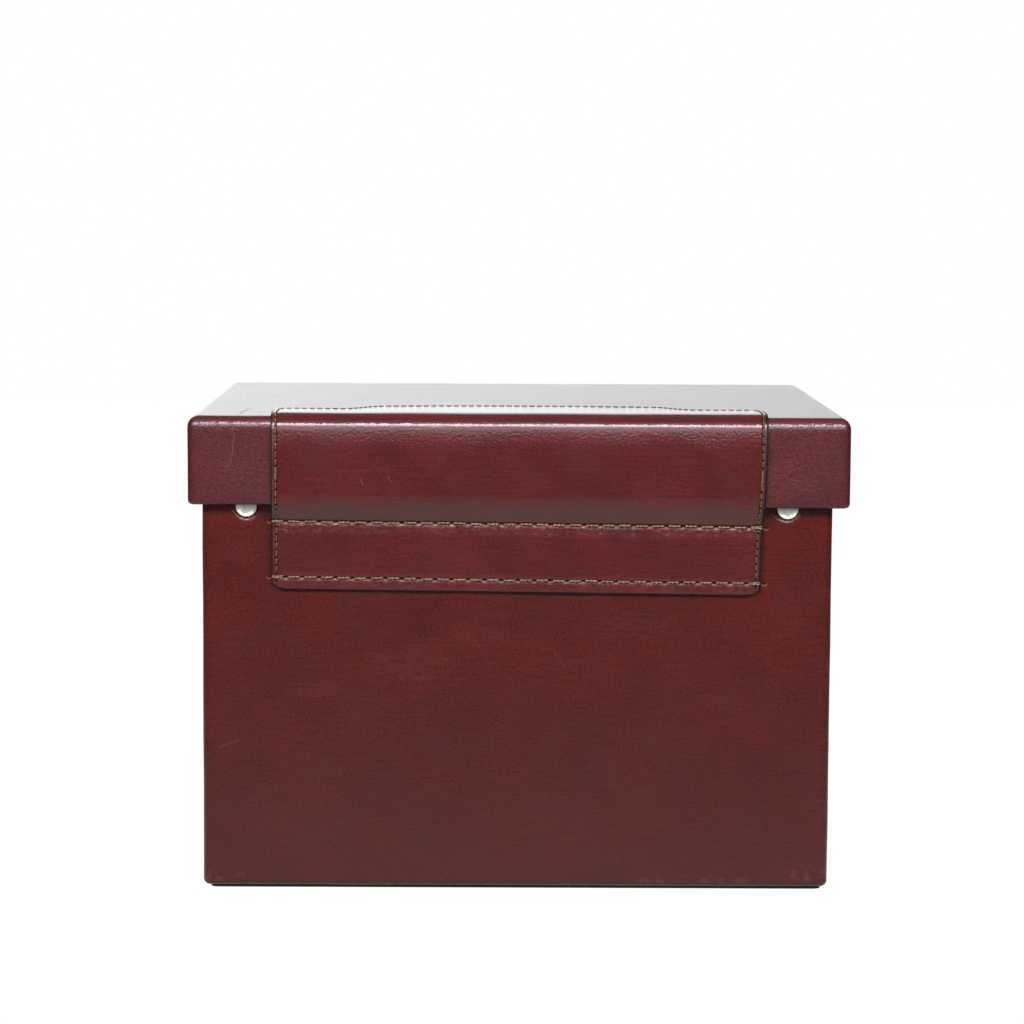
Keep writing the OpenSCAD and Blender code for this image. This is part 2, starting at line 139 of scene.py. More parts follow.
add(sky, "OutputWorld", (add(sky, "MixShader", (by_camera, room, white)),))

bpy.ops.mesh.primitive_plane_add(size=7, location=(0, 0, -0.2 * mm))
sweep = bpy.context.object
sweep.name = "paper_sweep"
paper = bpy.data.materials.new("white_studio_paper")
paper.use_nodes = True
tree = paper.node_tree
tree.nodes.clear()
matt = add(tree, "BsdfDiffuse", {"Color": "707070"})
glow = add(tree, "Emission", {"Color": "ffffff", "Strength": 1.1})
rays = add(tree, "LightPath").node.outputs
from_box = add(tree, "VectorMath", (add(tree, "TexCoord", out="Object"),), 1, operation="LENGTH")
lit = add(tree, "MapRange", (from_box, 0.25, 1, 0.75, 0.1))
mirrored = add(tree, "Math", (rays["Is Glossy Ray"], lit), operation="MULTIPLY")
share = add(tree, "Math", (rays["Is Camera Ray"], 0.92, mirrored), operation="MULTIPLY_ADD")
add(tree, "OutputMaterial", (add(tree, "MixShader", (share, matt, glow)),))
sweep.data.materials.append(paper)
bpy.context.scene.view_settings.view_transform = "Standard"


# The leather cover: one burgundy calf skin over the lid's boards and one over the body's, glued down,
# turned round the rim, and under the base. The hide was dyed, glazed and waxed, so it has a fine
# grain, faint lines from the glazing and a sheen that is strong at a grazing angle.
def new_material(name):
    """An empty node tree with a Principled shader wired to its output"""
    made = bpy.data.materials.new(name)
    made.use_nodes = True
    made.node_tree.nodes.clear()
    shader = add(made.node_tree, "BsdfPrincipled").node
    add(made.node_tree, "OutputMaterial", (shader.outputs[0],))
    return made, made.node_tree, shader


def near(tree, place, spots):
    """1 inside any of several ovals, each a centre and its half widths in mm, fading to 0 outside"""
    total = 0
    for centre, reach in spots:
        offset = add(tree, "VectorMath", (place, Vector(centre) * mm), operation="SUBTRACT")
        scaled = add(tree, "VectorMath", (offset, Vector(reach) * mm), operation="DIVIDE")
        gap = add(tree, "VectorMath", (scaled,), 1, operation="LENGTH")
        inside = add(tree, "MapRange", (gap, 1.3, 0.7), interpolation_type="SMOOTHSTEP")
        total = add(tree, "Math", (inside, total), operation="MAXIMUM")
    return total


def scratched(tree, place, lines):
    """1 on any of several lines, each a start, an end and a width in mm, fading to 0 beside it"""
    total = 0
    for start, end, width in lines:
        start, along = Vector(start) * mm, (Vector(end) - Vector(start)) * mm
        offset = add(tree, "VectorMath", (place, start), operation="SUBTRACT")
        share = add(
            tree, "VectorMath", (offset, along / along.length_squared), 1, operation="DOT_PRODUCT"
        )
        foot = add(
            tree, "VectorMath", {0: along, "Scale": add(tree, "Clamp", (share,))}, operation="SCALE"
        )
        gap = add(tree, "VectorMath", (offset, foot), 1, operation="DISTANCE")
        inside = add(tree, "MapRange", (gap, width * mm / 2, 0), interpolation_type="SMOOTHSTEP")
        total = add(tree, "Math", (inside, total), operation="MAXIMUM")
    return total


# The lighter pink serves the real scratches and scuffs, and also painted glints on creases and puckers.
# The mauve tone is a painted sheen, laid over the leather in soft clouds.
# The near-black hole colour is painted shade inside the awl and needle holes.
raw_fibre, painted_hole_shade, scuff_and_glint_tone, painted_sheen_tone = "b85a3c", "030101", "a8605f", "633a40"


def leather(
    name, dye_and_shade, rough, coat, grain, glazed, scratches=(), wrinkles=(), scuffs=(), pierced=(),
    stitching=None,
):
    """Glazed calf from its darker and lighter dye, and on the body a third, darker and greyer tone
    towards the foot that is painted shade and painted floor reflection, with its marks, each a list of
    places in mm
    """
    made, tree, shader = new_material(name)
    if stitching:
        flat = add(tree, "UVMap", uv_map="flat_leather")
        place = add(tree, "VectorMath", {0: flat, "Scale": uv_unit}, operation="SCALE")
    else:
        place = add(tree, "TexCoord", out="Object")
    hide = add(tree, "TexNoise", {"Vector": place, "Scale": 1 / 0.035, "Detail": 2})
    cloud = add(tree, "TexNoise", {"Vector": place, "Scale": 1 / 0.022, "Detail": 3, "Distortion": 0.4})
    fleck = add(tree, "TexNoise", {"Vector": place, "Scale": 1 / 0.0013, "Detail": 3})
    drawn = add(tree, "Mapping", {"Vector": place, "Scale": (0.07, 1, 1)}, vector_type="POINT")
    glazing = add(tree, "TexNoise", {"Vector": drawn, "Scale": 1 / 0.0013, "Detail": 3})
    pebble = add(tree, "TexVoronoi", {"Vector": place, "Scale": 1 / 0.0012})
    tint = add(tree, "Math", (glazing, glazed), operation="MULTIPLY")
    tint = add(tree, "Math", (fleck, 0.9, tint), operation="MULTIPLY_ADD")
    mean = 0.45 + glazed / 2
    share = add(tree, "MapRange", (tint, mean - 0.2, mean + 0.2))
    colour = add(tree, "Mix", {0: share, 6: dye_and_shade[0], 7: dye_and_shade[1]}, 2, data_type="RGBA")
    share = add(tree, "MapRange", (hide, 0.35, 0.6, 0.35, 0))
    colour = add(tree, "Mix", {0: share, 6: colour, 7: dye_and_shade[0]}, 2, data_type="RGBA")
    # Mauve clouds mixed into the colour are a painted sheen.
    share = add(tree, "MapRange", (cloud, 0.45, 0.75, 0, 0.22))
    colour = add(tree, "Mix", {0: share, 6: colour, 7: painted_sheen_tone}, 2, data_type="RGBA")
    # The third tone grows towards the foot: painted shade and painted floor reflection that darken and
    # grey the lower body.
    if len(dye_and_shade) > 2:
        above = add(tree, "SeparateXYZ", (place,), 2)
        share = add(tree, "MapRange", (above, 0.19, 0, 0, 0.55))
        colour = add(tree, "Mix", {0: share, 6: colour, 7: dye_and_shade[2]}, 2, data_type="RGBA")
    bloom = add(tree, "Math", (hide, fleck), operation="ADD")
    dull = add(tree, "MapRange", (bloom, 0.6, 1.4, rough - 0.025, rough + 0.025))
    height = add(tree, "Math", (fleck, 1.2, pebble), operation="MULTIPLY_ADD")
    height = add(tree, "Math", (glazing, glazed, height), operation="MULTIPLY_ADD")
    bare = 0
    if scratches:
        worn = scratched(tree, place, scratches)
        bare = add(tree, "Math", (worn, fleck), operation="MULTIPLY")
        share = add(tree, "Math", (bare, 0.6), operation="MULTIPLY")
        colour = add(tree, "Mix", {0: share, 6: colour, 7: scuff_and_glint_tone}, 2, data_type="RGBA")
        dull = add(tree, "Math", (bare, 0.4, dull), operation="MULTIPLY_ADD")
    if wrinkles:
        across = add(tree, "Mapping", {"Vector": place, "Scale": (0.28, 1, 1)}, vector_type="POINT")
        creases = add(
            tree, "TexNoise", {"Vector": across, "Scale": 1 / 0.0018, "Detail": 3, "Distortion": 0.7}
        )
        ridge = add(tree, "MapRange", (creases, 0.42, 0.62))
        ridge = add(tree, "Math", (ridge, near(tree, place, wrinkles)), operation="MULTIPLY")
        height = add(tree, "Math", (ridge, 0.5, height), operation="MULTIPLY_ADD")
        # The crease ridges are painted a little lighter: a painted glint.
        share = add(tree, "Math", (ridge, 0.06), operation="MULTIPLY")
        colour = add(tree, "Mix", {0: share, 6: colour, 7: scuff_and_glint_tone}, 2, data_type="RGBA")
    if scuffs:
        rubbed = add(tree, "TexNoise", {"Vector": place, "Scale": 1 / 0.004, "Detail": 6})
        rubbed = add(tree, "MapRange", (rubbed, 0.5, 0.66))
        rubbed = add(tree, "Math", (rubbed, near(tree, place, scuffs)), operation="MULTIPLY")
        share = add(tree, "Math", (rubbed, 0.22), operation="MULTIPLY")
        colour = add(tree, "Mix", {0: share, 6: colour, 7: scuff_and_glint_tone}, 2, data_type="RGBA")
    if pierced:
        torn = near(tree, place, [((x, y, z - 0.5), (1.5, 4, 1.2)) for x, y, z in pierced])
        colour = add(tree, "Mix", {0: torn, 6: colour, 7: raw_fibre}, 2, data_type="RGBA")
        # The end holes are painted near black: painted shade inside them.
        holes = near(tree, place, [(at, (1.2, 4, 0.75)) for at in pierced])
        colour = add(tree, "Mix", {0: holes, 6: colour, 7: painted_hole_shade}, 2, data_type="RGBA")
    if stitching:
        holes, fibre, puckers = stitching(tree, place)
        # The puckers by the rows and the strip along the edges are painted lighter pink: painted
        # glints.
        painted_glints = add(tree, "Math", (puckers, 0.18), operation="MULTIPLY")
        colour = add(tree, "Mix", {0: painted_glints, 6: colour, 7: scuff_and_glint_tone}, 2, data_type="RGBA")
        colour = add(tree, "Mix", {0: fibre, 6: colour, 7: raw_fibre}, 2, data_type="RGBA")
        # The awl and needle holes are painted near black: painted shade inside them.
        colour = add(tree, "Mix", {0: holes, 6: colour, 7: painted_hole_shade}, 2, data_type="RGBA")
        height = add(tree, "Math", (puckers, 9, height), operation="MULTIPLY_ADD")
        dull = add(tree, "Math", (fibre, 0.35, dull), operation="MULTIPLY_ADD")
        dull = add(tree, "Math", (holes, -0.15, dull), operation="MULTIPLY_ADD")
        bare = add(tree, "Math", (holes, bare), operation="MAXIMUM")
        bare = add(tree, "Math", (fibre, bare), operation="MAXIMUM")
    gloss = add(tree, "MapRange", (bare, 0, 1, coat, 0))
    tree.links.new(gloss, shader.inputs["Coat Weight"])
    bump = add(tree, "Bump", {"Strength": grain, "Distance": 0.4 * mm, "Height": height})
    tree.links.new(colour, shader.inputs["Base Color"])
    tree.links.new(dull, shader.inputs["Roughness"])
    tree.links.new(bump, shader.inputs["Normal"])
    tree.links.new(bump, shader.inputs["Coat Normal"])
    shader.inputs["Coat Roughness"].default_value = 0.09
    shader.inputs["Specular IOR Level"].default_value = 0.3
    return made


lid_scratches = [
    ((-141.9, -137, 236), (-141.6, -137, 228), 1.4),
    ((-141.6, -137, 228), (-142.9, -137, 218), 1.5),
    ((-142.9, -137, 218), (-145.2, -137, 214), 1.3),
    ((-139.6, -126, 240), (-139, -96, 240), 2),
    ((-139, -96, 240), (-137, -76, 240), 2),
]
body_scratches = [
    ((-150, -130, 72), (-139, -130, 76.5), 0.8),
    ((18, -130, 122), (24, -130, 114), 0.7),
    ((152, -130, 46), (156, -130, 47), 0.8),
]
body_wrinkles = [
    ((-103, -130, 102), (13, 9, 5)), ((-54, -130, 115), (22, 9, 10)), ((-138, -130, 170), (12, 9, 6)),
    ((60, -130, 135), (20, 9, 8)), ((-20, -130, 128), (16, 9, 6)),
]
body_scuffs = [
    ((-150, -130, 6), (12, 8, 4)), ((150, -130, 8), (12, 8, 5)), ((90, -130, 4), (30, 6, 3)),
]
end_holes = [(-124.1, -130, 187.1), (124, -130, 184.7), (-124.3, -130, 159), (123.6, -130, 156.6)]
lid_leather = leather(
    "glazed_calf_leather_lid", ("431315", "7e2225"), 0.45, 0.55, 0.22, 0.3, lid_scratches,
    wrinkles=[((-125, -137, 208), (22, 9, 9)), ((135, -137, 208), (20, 9, 10))],
)
# The body's third tone, 4c1e1d, is painted shade and painted floor reflection towards the foot.
body_leather = leather(
    "glazed_calf_leather_body", ("4f1512", "83231c", "4c1e1d"), 0.28, 0.2, 0.2, 0.5, body_scratches,
    body_wrinkles, body_scuffs, end_holes,
)


def select_faces(mesh, wanted):
    """Selects the faces whose centre and normal satisfy wanted, and nothing else"""
    bpy.ops.object.mode_set(mode="EDIT")
    bpy.ops.mesh.select_all(action="DESELECT")
    bpy.ops.mesh.select_mode(type="FACE")
    bpy.ops.object.mode_set(mode="OBJECT")
    for face in mesh.polygons:
        face.select = wanted(face.center, face.normal)
    bpy.ops.object.mode_set(mode="EDIT")


def select_edges(mesh, wanted):
    """Selects the edges whose two ends satisfy wanted, and nothing else"""
    bpy.ops.object.mode_set(mode="EDIT")
    bpy.ops.mesh.select_all(action="DESELECT")
    bpy.ops.mesh.select_mode(type="EDGE")
    bpy.ops.object.mode_set(mode="OBJECT")
    for edge in mesh.edges:
        a, b = (mesh.vertices[i].co for i in edge.vertices)
        edge.select = wanted(a, b)
    bpy.ops.object.mode_set(mode="EDIT")


def cut_in_cells(mesh, low, high, cell):
    """Cuts a mesh by planes a cell apart along each axis, so that its faces can be shaped"""
    bpy.ops.object.mode_set(mode="EDIT")
    for axis in range(3):
        count = ceil((high[axis] - low[axis]) / cell)
        for i in range(1, count):
            at, normal = [0, 0, 0], [0, 0, 0]
            at[axis] = low[axis] + (high[axis] - low[axis]) * i / count
            normal[axis] = 1
            bpy.ops.mesh.select_all(action="SELECT")
            bpy.ops.mesh.bisect(plane_co=at, plane_no=normal)
    bpy.ops.object.mode_set(mode="OBJECT")


def smooth_by_angle(piece, angle=40):
    bpy.ops.object.select_all(action="DESELECT")
    piece.select_set(True)
    bpy.context.view_layer.objects.active = piece
    bpy.ops.object.shade_smooth_by_angle(angle=radians(angle))


def start_cube(name, low, high):
    """A cube from corner to corner, its place applied, ready to be shaped"""
    bpy.ops.object.select_all(action="DESELECT")
    size = Vector(high) - Vector(low)
    bpy.ops.mesh.primitive_cube_add(size=1, location=(Vector(low) + Vector(high)) / 2, scale=size)
    piece = bpy.context.object
    piece.name = name
    bpy.ops.object.transform_apply(location=True, rotation=True, scale=True)
    return piece


corner_left, merged_below = 0.4 * mm, 0.9 * mm


def leather_skin(name, node, wall, corner, closed_edge, hem, opens):
    """A skin over a tray of boards: opens is 1 for a tray open upwards and -1 for a lid"""
    low, high = (Vector(c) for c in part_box(node))
    piece = start_cube(name, low, high)
    mesh = piece.data
    rim = high.z if opens > 0 else low.z
    shut = low.z if opens > 0 else high.z
    close = 0.01 * mm
    select_edges(mesh, lambda a, b: abs(a.z - b.z) > wall)
    bpy.ops.mesh.bevel(offset=corner, segments=6, profile=0.5)
    select_edges(mesh, lambda a, b: abs(a.z - shut) < close and abs(b.z - shut) < close)
    bpy.ops.mesh.bevel(offset=closed_edge, segments=6, profile=0.5)
    select_edges(mesh, lambda a, b: abs(a.z - rim) < close and abs(b.z - rim) < close)
    bpy.ops.mesh.bevel(offset=hem, segments=3, profile=0.5)
    select_faces(mesh, lambda c, n: n.z * opens > 0.99)
    to_round = corner - corner_left - hem
    bpy.ops.mesh.inset(thickness=min(wall - hem, to_round), depth=0)
    if wall - hem > to_round:
        bpy.ops.mesh.remove_doubles(threshold=merged_below)
        bpy.ops.mesh.inset(thickness=wall - hem - to_round, depth=0)
    bpy.ops.mesh.extrude_region_move(TRANSFORM_OT_translate={"value": (0, 0, -opens * turn_in)})
    bpy.ops.mesh.delete(type="FACE")
    bpy.ops.object.mode_set(mode="OBJECT")
    return piece, mesh, low, high


turn_in = 12 * mm
lid_wall, lid_corner, lid_hem = 3.5 * mm, 5.5 * mm, 2.2 * mm
lid_skin, lid_mesh, lid_low, lid_high = leather_skin(
    "lid_leather_cover", "lid_cover", lid_wall, lid_corner, lid_corner, lid_hem, -1
)
cut_in_cells(lid_mesh, lid_low, lid_high, 4 * mm)


def squared_off(vertices, low, high, corner):
    """Draws round upright corners out towards square ones, as leather pulled tight over boards"""
    centre = (low + high) / 2
    for v in vertices:
        into = [max(0, abs(v.co[k] - centre[k]) - (high[k] - centre[k] - corner)) for k in (0, 1)]
        if min(into) > 0:
            grow = hypot(*into) / (into[0] ** 4 + into[1] ** 4) ** 0.25 - 1
            for k in (0, 1):
                v.co[k] += into[k] * grow * (1 if v.co[k] > centre[k] else -1)


squared_off(lid_mesh.vertices, lid_low, lid_high, lid_corner)


hem_sag, hem_slant, top_sag = 0.95 * mm, 0.27 * mm, 0.12 * mm


def lid_sag(x, z):
    """How much lower than its boards the lid's leather lies, by its place across and up the lid"""
    across, up = x / lid_high.x, (z - lid_low.z) / (lid_high.z - lid_low.z)
    return (hem_sag + hem_slant * across) * (1 - up) + top_sag * (1 - across) * up


def hand_stretched(vertices, amount, grain, seed):
    """Moves points along their normals by a soft noise, as leather drawn over board by hand lies"""
    normals = [v.normal.copy() for v in vertices]
    for v, normal in zip(vertices, normals):
        lift = noise.noise(v.co / grain + Vector((seed, 0, 0)))
        lift += 0.4 * noise.noise(v.co * 2.6 / grain + Vector((0, seed, 0)))
        v.co += normal * (lift * amount)


hand_stretched(lid_mesh.vertices, 0.16 * mm, 55 * mm, 3.1)
right_bulge = 0.8 * mm
for v in lid_mesh.vertices:
    v.co.z -= lid_sag(v.co.x, v.co.z)
    v.co.x += right_bulge * max(0, v.co.x / lid_high.x)
skin_t = 0.5 * mm
thick = lid_skin.modifiers.new("skin", "SOLIDIFY")
thick.thickness = skin_t
bpy.ops.object.modifier_apply(modifier="skin")
smooth_by_angle(lid_skin)
lid_mesh.materials.append(lid_leather)
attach(lid_skin, "lid")
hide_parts("lid_cover")

# The body's skin goes over the rim and 20 mm under the base. The rivets pull it in round their caps.
turn_under = 20 * mm
body_wall, body_corner, body_foot, body_rim = 5 * mm, 4 * mm, 3 * mm, 1.2 * mm
planned_cap_r, rivet_shift, rivet_z = 5.6 * mm, 0.5 * mm, 194.3 * mm
cap_ends = [corner.x - rivet_shift for corner in map(Vector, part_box("rivet_caps"))]
rivet_centres = [
    Vector((cap_ends[0] + planned_cap_r, 0, rivet_z)), Vector((cap_ends[1] - planned_cap_r, 0, rivet_z))
]
body_skin, body_mesh, body_low, body_high = leather_skin(
    "body_leather_cover", "body_cover", body_wall, body_corner, body_foot, body_rim, 1
)
first_inset = 0.7 * mm
select_faces(body_mesh, lambda c, n: n.z < -0.999 and abs(c.x) < mm)
bpy.ops.mesh.inset(thickness=first_inset, depth=0)
bpy.ops.mesh.remove_doubles(threshold=merged_below)
bpy.ops.mesh.inset(thickness=turn_under - body_foot - first_inset, depth=0)
bpy.ops.mesh.delete(type="FACE")
bpy.ops.object.mode_set(mode="OBJECT")
cut_in_cells(body_mesh, body_low, body_high, 5 * mm)


def smooth_step(share):
    """0 up to 0, 1 from 1 on, and an easy rise between"""
    share = min(1, max(0, share))
    return share * share * (3 - 2 * share)


def near_rivet(point, reach):
    """Distance to the nearest rivet's centre on the hinge wall, or None past reach"""
    if point.y > body_low.y + 2 * mm:
        return None
    gap = min(hypot(point.x - r.x, point.z - r.z) for r in rivet_centres)
    return gap if gap < reach else None


select_faces(body_mesh, lambda c, n: near_rivet(c, 13 * mm) is not None)
bpy.ops.mesh.subdivide(number_cuts=4)
bpy.ops.object.mode_set(mode="OBJECT")
hand_stretched(body_mesh.vertices, 0.25 * mm, 60 * mm, 8.4)
cap_r, dimple, dimple_side, drawn_in = 5.4 * mm, 0.8 * mm, 1.8 * mm, 0.4 * mm
for v in body_mesh.vertices:
    gap = near_rivet(v.co, 11 * mm)
    if gap is not None:
        v.co.y += dimple * (1 - smooth_step((gap - cap_r) / dimple_side))
    v.co.x -= drawn_in * max(0, v.co.x / body_high.x)
thick = body_skin.modifiers.new("skin", "SOLIDIFY")
thick.thickness = skin_t
bpy.ops.object.modifier_apply(modifier="skin")
smooth_by_angle(body_skin)
body_mesh.materials.append(body_leather)
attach(body_skin, "box_body")
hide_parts("body_cover")

# The hinge panel: two plies of the same calf glued flesh to flesh, cut flat with an ogee along its
# far edge, its edges painted black, then sewn down. It is drawn here flat, as it was cut, and laid
# over the box by one rule, which its threads follow too.
panel_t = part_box("lid_cover")[0][1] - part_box("hinge_lid_leaf")[0][1]
half_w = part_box("hinge_fold")[1][0]
foot_z, fold_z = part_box("hinge_body_leaf")[0][2] - 0.5 * mm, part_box("hinge_fold")[0][2]
wall_y, lid_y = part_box("body_cover")[0][1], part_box("lid_cover")[0][1]
hem_z, top_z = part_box("lid_cover")[0][2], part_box("lid_cover")[1][2]
lower_row, upper_row = 6.3 * mm, 34.4 * mm
edge_r = 6 * mm
to_fold = upper_row + 0.6 * mm
turn_z = foot_z + to_fold
fold_run = hypot(hem_z - turn_z, wall_y - lid_y)
to_lid = to_fold + fold_run
to_bend = to_lid + top_z - edge_r - hem_z
bend_run = edge_r * pi / 2
to_top = to_bend + bend_run
# The panel was sewn on by hand, so it sits a little askew on the body and unevenly to the sides.
body_skew = -0.0095
left_out, right_foot_out, right_top_out = 0.9 * mm, -0.8 * mm, 1.8 * mm


def hinge_point(x, run, height):
    """Where a point of the flat leather ends up: run up from its lower edge, height above its back"""
    height *= 1 - 0.1 * smooth_step((run - to_bend) / bend_run)
    if run < to_fold:
        y, z = wall_y - height, foot_z + run
    elif run < to_lid:
        t = (run - to_fold) / fold_run
        t = 0.65 * t + 0.35 * smooth_step(t)
        y = wall_y + (lid_y - wall_y) * t - height
        z = turn_z + (hem_z - turn_z) * t
    elif run < to_bend:
        y, z = lid_y - height, hem_z + run - to_lid
    elif run < to_top:
        angle = (run - to_bend) / edge_r
        y = lid_y + edge_r - (edge_r + height) * cos(angle)
        z = top_z - edge_r + (edge_r + height) * sin(angle)
    else:
        y, z = lid_y + edge_r + run - to_top, top_z + height
    fade = min(1, max(0, (to_lid - run) / (fold_run + 2 * mm)))
    z -= lid_sag(x, z) * min(1, max(0, (run - to_fold) / fold_run))
    drift = -left_out
    if x > 0:
        drift = right_foot_out + (right_top_out - right_foot_out) * smooth_step(run / to_bend)
    return Vector((x + drift * abs(x) / half_w, y, z + body_skew * x * fade))


ogee_side, ogee_rise, ogee_bow = 34 * mm, 19 * mm, 5 * mm
ogee_x = half_w - 35 * mm
ogee_run = 20 * mm
corner_w, foot_corner, far_corner = 8 * mm, 4 * mm, 5 * mm


def corner_drop(x, deep):
    """How far a round corner, deep along the run, draws the panel's end in at x"""
    into = min(1, max(0, 1 - (half_w - abs(x)) / (corner_w if deep < far_corner else deep)))
    return deep * (1 - sqrt(1 - into**2))


def far_run(x):
    """The run at which the panel ends on the lid's top, its corners not counted"""
    share = min(1, max(0, (ogee_x - abs(x)) / ogee_run))
    swell = 1 - min(1, abs(x) / (ogee_x - ogee_run)) ** 2
    return to_top - edge_r + ogee_side + ogee_rise * share**2 * (3 - 2 * share) + ogee_bow * swell


def graded(start, stop, fine_places, fine, coarse, reach):
    """Places from start to stop, fine apart near the fine places and coarse apart elsewhere"""
    places, step = [start], fine
    while places[-1] < stop - step * 1.5:
        places.append(places[-1] + step)
        near = min(abs(places[-1] + fine - p) for p in fine_places)
        step = fine if near < reach else coarse
    return places + [stop]


hand_count = 30
hand_over = 1.1 * mm
hand_pitch = (2 * half_w + 2 * hand_over) / hand_count
seam_inset = 2.5 * mm
cells = 8
column_step = hand_pitch / cells
seam_pitch = 3.85 * mm
needle_r = 0.6 * mm
seam_x = half_w - seam_inset
seam_foot, seam_corner = 4.5 * mm, 3 * mm
side_end = far_run(seam_x) - seam_inset - seam_corner
side_count = round((side_end - seam_foot) / seam_pitch)
side_pitch = (side_end - seam_foot) / side_count
even_columns = floor((half_w - corner_w) / column_step)
right = [i * column_step for i in range(even_columns)]
right += graded(even_columns * column_step, half_w, [half_w], 0.5 * mm, mm, corner_w)
columns = [-x for x in reversed(right[1:])] + right
fine_runs = 0, lower_row, upper_row - 1.5 * mm, upper_row + mm, to_bend + 2 * mm, to_bend + 5 * mm
near_rows = graded(0, to_top, fine_runs, 0.6 * mm, 2.2 * mm, 2.2 * mm)
end_rows = graded(0, 14 * mm, [0, seam_inset], 0.5 * mm, 1.4 * mm, 2 * mm)
middle_rows = 10


def edge_slope(x):
    """How steeply the far edge runs at x"""
    return (far_run(x + 0.1 * mm) - far_run(x - 0.1 * mm)) / (0.2 * mm)


edge_step = 0.05 * mm
edge_count = round(2 * (seam_x - seam_corner) / edge_step)
edge_x = [-seam_x + seam_corner + i * edge_step for i in range(edge_count)]
edge_length = [0]
for x in edge_x[1:]:
    edge_length.append(edge_length[-1] + edge_step * hypot(1, edge_slope(x)))

bpy.ops.object.select_all(action="DESELECT")
row_count = len(near_rows) + middle_rows + len(end_rows)
bpy.ops.mesh.primitive_grid_add(x_subdivisions=len(columns) - 1, y_subdivisions=row_count - 1, size=2)
panel = bpy.context.object
panel.name = "hinge_panel_leather"
mesh = panel.data
for v in mesh.vertices:
    column = round((v.co.x + 1) / 2 * (len(columns) - 1))
    row = round((v.co.y + 1) / 2 * (row_count - 1))
    x = columns[column]
    last = far_run(x) - corner_drop(x, far_corner)
    if row < len(near_rows):
        run = near_rows[row]
        squeeze = max(0, 1 - run / (9 * mm))
        run += corner_drop(x, foot_corner) * squeeze
    elif row < len(near_rows) + middle_rows:
        share = (row - len(near_rows) + 1) / (middle_rows + 1)
        run = to_top + (last - end_rows[-1] - to_top) * share
    else:
        run = last - end_rows[row_count - 1 - row]
    v.co = (x, run, 0)
uv_unit = 100 * mm
flat_uv = mesh.uv_layers.new(name="flat_leather")
edge_uv = mesh.uv_layers.new(name="along_far_edge")
for loop in mesh.loops:
    x, run = mesh.vertices[loop.vertex_index].co.xy
    flat_uv.data[loop.index].uv = x / uv_unit, run / uv_unit
    step = min(len(edge_x) - 1, max(0, round((x - edge_x[0]) / edge_step)))
    past_ends = x - edge_x[step]
    inset = (far_run(x) - run) / hypot(1, edge_slope(x))
    edge_uv.data[loop.index].uv = (edge_length[step] + past_ends) / uv_unit, inset / uv_unit

thick = panel.modifiers.new("plies", "SOLIDIFY")
thick.thickness = panel_t - 0.05 * mm
thick.offset = 1
bpy.ops.object.modifier_apply(modifier="plies")
worn = panel.modifiers.new("worn_edge", "BEVEL")
worn.width = 0.4 * mm
worn.segments = 2
worn.limit_method = "ANGLE"
worn.angle_limit = radians(60)
bpy.ops.object.modifier_apply(modifier="worn_edge")


tack_runs = {-1: 62.5 * mm, 1: 61.5 * mm}
crease_x, crease_run, crease_w, crease_reach = 104 * mm, 66 * mm, 5 * mm, 22 * mm
crown_at, crown_rise, crown_fall = 5 * mm, 10 * mm, 5 * mm


def bump_at(distance, width):
    """1 at no distance, fading smoothly to nothing past about twice the width"""
    return 2.718 ** (-((distance / width) ** 2))


def panel_relief(x, run):
    """How much the panel's face rises or dips at a point of the flat leather"""
    side = half_w - abs(x)
    far = far_run(x) - corner_drop(x, far_corner) - run
    edge = min(side, far, run - corner_drop(x, foot_corner))
    lift = -0.25 * bump_at(edge, 0.8 * mm)
    seam = min(side, far)
    if run > 2 * mm:
        lift -= 0.28 * bump_at(seam - seam_inset, 0.75 * mm)
    hole = (x / hand_pitch + 0.5) % 1 - 0.5
    for row, strength in ((lower_row, 0.7), (upper_row, 1)):
        gap = hypot(hole * hand_pitch, run - row)
        lift -= 0.55 * bump_at(gap, 1.1 * mm)
        lift -= 0.12 * bump_at(run - row, 1.2 * mm)
        pucker = noise.noise(Vector((x / hand_pitch * 0.9, row, 0))) * 0.5
        pucker *= cos(2 * pi * (hole + 0.08))
        pucker -= 0.5 * cos(2 * pi * hole)
        lift += strength * 0.3 * pucker * bump_at(run - row + 3 * mm, 2.2 * mm)
    for way, tack_run in tack_runs.items():
        tack_x = way * seam_x
        lift -= 0.3 * bump_at(hypot(x - tack_x, (run - tack_run) * 0.5), 1.4 * mm)
        lift += 0.2 * bump_at(hypot(x - tack_x * 0.965, (run - tack_run - mm) * 0.8), 2 * mm)
    past_crease = Vector((x - crease_x, run - crease_run))
    crease = past_crease.x * 0.55 + past_crease.y * 0.83
    lift += 0.3 * bump_at(crease, crease_w) * bump_at(past_crease.length, crease_reach)
    lift += 0.22 * noise.noise(Vector((x, run, 0)) / (34 * mm))
    past_crown = run - to_bend - crown_at
    lift -= 1.2 * bump_at(past_crown, crown_rise if past_crown < 0 else crown_fall)
    near_hem = smooth_step((to_lid + 5 * mm - run) / (5 * mm))
    lift -= 1.3 * near_hem * smooth_step((run - to_fold) / fold_run)
    return lift * mm


for v in mesh.vertices:
    x, run, height = v.co
    share = height / panel_t
    if share > 0.5:
        height += panel_relief(x, run) * (share - 0.5) * 2
    v.co = hinge_point(x, run, height)
smooth_by_angle(panel, 35)


def oval(tree, across, along, half_width, half_height, soft=0.35):
    """1 where the distances across and along, in metres, are inside an oval, fading to 0 past it"""
    across = add(tree, "Math", (across, half_width), operation="DIVIDE")
    along = add(tree, "Math", (along, half_height), operation="DIVIDE")
    spread = add(tree, "CombineXYZ", (across, along))
    reach = add(tree, "VectorMath", (spread,), 1, operation="LENGTH")
    return add(tree, "MapRange", (reach, 1 + soft, 1 - soft), interpolation_type="SMOOTHSTEP")


